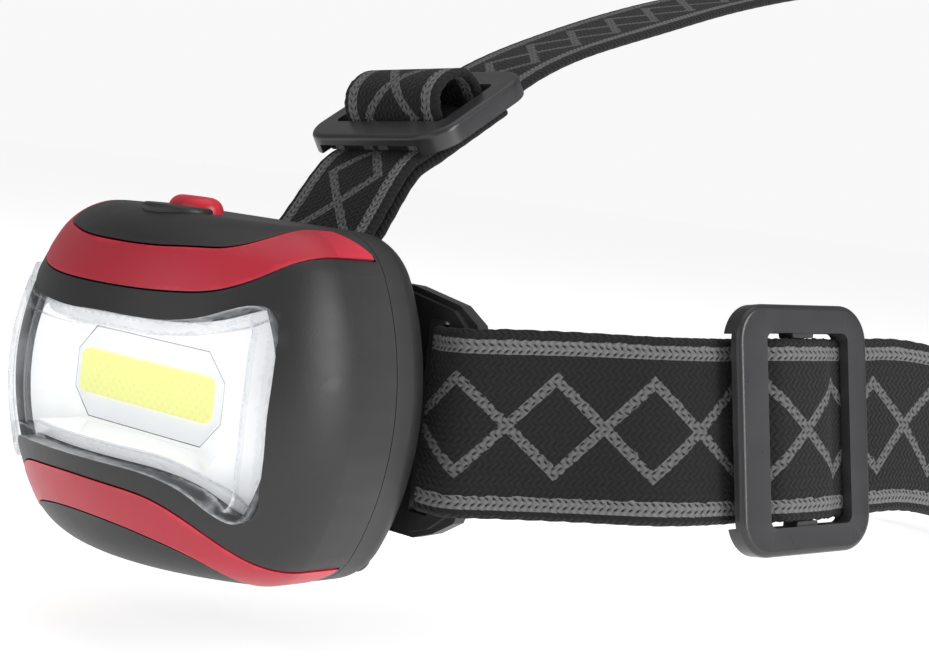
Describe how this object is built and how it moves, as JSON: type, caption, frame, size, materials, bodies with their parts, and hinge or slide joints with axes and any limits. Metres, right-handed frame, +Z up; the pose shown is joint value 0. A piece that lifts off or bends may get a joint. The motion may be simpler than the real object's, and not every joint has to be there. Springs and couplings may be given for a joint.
{
  "type": "headlamp",
  "caption": "Headlamp with a wide LED panel on a tilting bracket, red trims, push button and slide-up battery cover, on an elastic headband with a top strap and strap sliders",
  "frame": {"origin": "middle of the forehead pad's back face, where it meets the forehead", "axes": "+X to the right seen from the front of the lamp, +Y towards the back of the head, +Z up; the lamp shines along -Y"},
  "size_m": [0.1444, 0.2584, 0.1197],
  "materials": {
    "body_plastic": "fine-grained dark grey moulding",
    "bracket_plastic": "fine-grained black moulding",
    "tray_plastic": "plain black moulding",
    "slider_plastic": "satin dark grey moulding",
    "trim_red": "satin crimson moulding",
    "button_red": "satin red",
    "button_surround": "soft moulded surround",
    "seal_rubber": "moulded rubber",
    "lens_clear": "clear polished moulding",
    "reflector_white": "smooth white",
    "led_board": "white solder mask on aluminium",
    "led_phosphor": "pale yellow phosphor",
    "heat_plate": "plain sheet",
    "circuit_board": "green solder mask",
    "chip_black": "moulded package",
    "component": "small components",
    "switch_plunger": "moulded white",
    "wire_red": "insulated wire",
    "wire_black": "insulated wire",
    "cell_jacket": "plain jacket without lettering",
    "contact_nickel": "nickel-plated spring steel",
    "screw_steel": "zinc-plated",
    "pad_foam": "closed-cell foam, slightly open skin",
    "webbing": "black knitted elastic with grey edge stripes"
  },
  "bodies": {
    "harness": {"bracket": "bracket_plastic", "hinge_pin": "screw_steel", "forehead_pad": "pad_foam", "side_loop_right": "webbing", "side_loop_left": "webbing", "headband": "webbing", "top_loop": "webbing", "top_strap": "webbing", "rear_buckle": "slider_plastic"},
    "lamp_head": {"front_shell": "body_plastic", "rear_shell": "body_plastic", "seam_seal": "seal_rubber", "lens": "lens_clear", "reflector": "reflector_white", "led_board": "led_board", "led_phosphor": "led_phosphor", "heat_plate": "heat_plate", "trim_top": "trim_red", "trim_bottom": "trim_red", "button_surround": "button_surround", "button_boot": "seal_rubber", "control_board": "circuit_board", "board_screws": "screw_steel", "tact_switch": "chip_black", "driver_chip": "chip_black", "board_components": "component", "led_wires": "wire_red", "battery_wires": "wire_black", "battery_tray": "tray_plastic", "battery_cell_1": "cell_jacket", "battery_cell_2": "cell_jacket", "battery_cell_3": "cell_jacket", "contact_plates": "contact_nickel", "contact_springs": "contact_nickel", "shell_screws": "screw_steel"},
    "button": {"button": "button_red"},
    "switch_plunger": {"switch_plunger": "switch_plunger"},
    "battery_cover": {"battery_cover": "body_plastic"},
    "slider_right": {"slider_right": "slider_plastic", "slider_webbing_right": "webbing"},
    "slider_left": {"slider_left": "slider_plastic", "slider_webbing_left": "webbing"},
    "slider_top": {"slider_top": "slider_plastic", "slider_webbing_top": "webbing"}
  },
  "joints": [
    {"name": "head_tilt", "type": "hinge", "parent": "harness", "child": "lamp_head", "pos_m": [0, -0.0127, -0.0209], "axis": [1, 0, 0], "range_deg": [0, 60]},
    {"name": "button_press", "type": "slide", "parent": "lamp_head", "child": "button", "axis": [0, 0, -1], "range_m": [0, 0.0008], "stiffness_N_per_m": 1500, "springref_m": -0.0003},
    {"name": "plunger_press", "type": "slide", "parent": "lamp_head", "child": "switch_plunger", "axis": [0, 0, -1], "range_m": [0, 0.0008]},
    {"name": "cover_slide", "type": "slide", "parent": "lamp_head", "child": "battery_cover", "axis": [0, 0, 1], "range_m": [0, 0.008]},
    {"name": "slider_right_move", "type": "slide", "parent": "harness", "child": "slider_right", "axis": [0.1753, 0.9839, 0.035], "range_m": [-0.006, 0.012]},
    {"name": "slider_left_move", "type": "slide", "parent": "harness", "child": "slider_left", "axis": [-0.1753, 0.9839, 0.035], "range_m": [-0.006, 0.012]},
    {"name": "slider_top_move", "type": "slide", "parent": "harness", "child": "slider_top", "axis": [0, 0.848, 0.5299], "range_m": [-0.003, 0.006]}
  ],
  "couplings": [
    {"joint": "plunger_press", "follows": "button_press", "ratio": 1}
  ]
}
